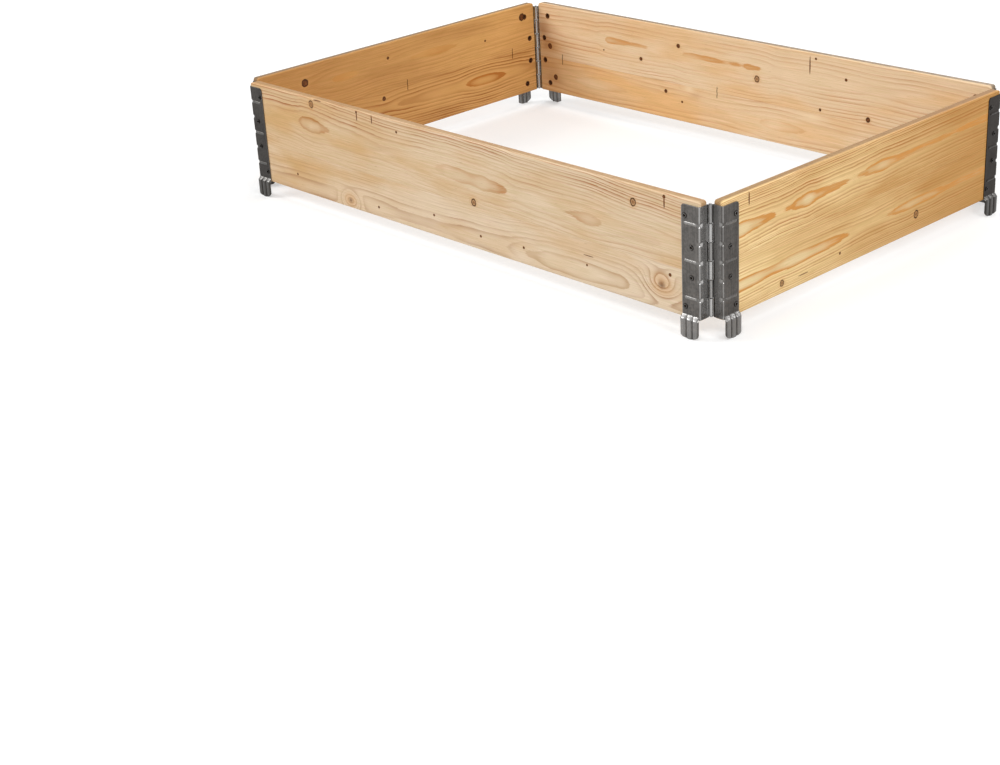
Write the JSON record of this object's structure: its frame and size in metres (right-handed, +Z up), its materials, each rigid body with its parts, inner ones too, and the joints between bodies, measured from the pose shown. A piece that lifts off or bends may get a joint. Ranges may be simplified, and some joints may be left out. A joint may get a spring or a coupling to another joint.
{
  "type": "pallet collar",
  "caption": "Folding timber pallet collar: an open frame of two-board sides with riveted sheet-steel corner hinges whose prongs hang over the edge of a pallet deck.",
  "frame": {"origin": "centre of the collar in plan, at the tips of the prongs", "axes": "+X along the long sides, +Y from the front side to the back side, +Z up"},
  "size_m": [1.2152, 0.8152, 0.227],
  "materials": {
    "pine": "planed, unfinished softwood",
    "galvanised_sheet": "zinc coated, satin",
    "fastener_steel": "zinc coated, satin",
    "strip_steel": "dark, bare"
  },
  "bodies": {
    "front_side": {"front_upper_board": "pine", "front_lower_board": "pine", "front_seam_strips": "strip_steel", "front_right_leaf": "galvanised_sheet", "front_left_leaf": "galvanised_sheet", "front_right_rivets": "fastener_steel", "front_left_rivets": "fastener_steel", "front_left_pin": "fastener_steel"},
    "right_side": {"right_upper_board": "pine", "right_lower_board": "pine", "right_seam_strips": "strip_steel", "right_back_leaf": "galvanised_sheet", "right_front_leaf": "galvanised_sheet", "right_back_rivets": "fastener_steel", "right_front_rivets": "fastener_steel", "front_right_pin": "fastener_steel", "back_right_pin": "fastener_steel"},
    "back_side": {"back_upper_board": "pine", "back_lower_board": "pine", "back_seam_strips": "strip_steel", "back_left_leaf": "galvanised_sheet", "back_right_leaf": "galvanised_sheet", "back_left_rivets": "fastener_steel", "back_right_rivets": "fastener_steel", "back_left_pin": "fastener_steel"},
    "left_side": {"left_upper_board": "pine", "left_lower_board": "pine", "left_seam_strips": "strip_steel", "left_front_leaf": "galvanised_sheet", "left_back_leaf": "galvanised_sheet", "left_front_rivets": "fastener_steel", "left_back_rivets": "fastener_steel"}
  },
  "joints": [
    {"name": "front_fold", "type": "hinge", "parent": "right_side", "child": "front_side", "pos_m": [0.57805, -0.37805, 0.032], "axis": [0, 0, 1], "range_deg": [-90, 90]},
    {"name": "back_fold", "type": "hinge", "parent": "right_side", "child": "back_side", "pos_m": [0.57805, 0.37805, 0.032], "axis": [0, 0, 1], "range_deg": [-90, 90]},
    {"name": "left_fold", "type": "hinge", "parent": "front_side", "child": "left_side", "pos_m": [-0.57805, -0.37805, 0.032], "axis": [0, 0, 1], "range_deg": [-90, 90]}
  ],
  "couplings": [
    {"joint": "back_fold", "follows": "front_fold", "ratio": 1},
    {"joint": "left_fold", "follows": "front_fold", "ratio": -1}
  ]
}
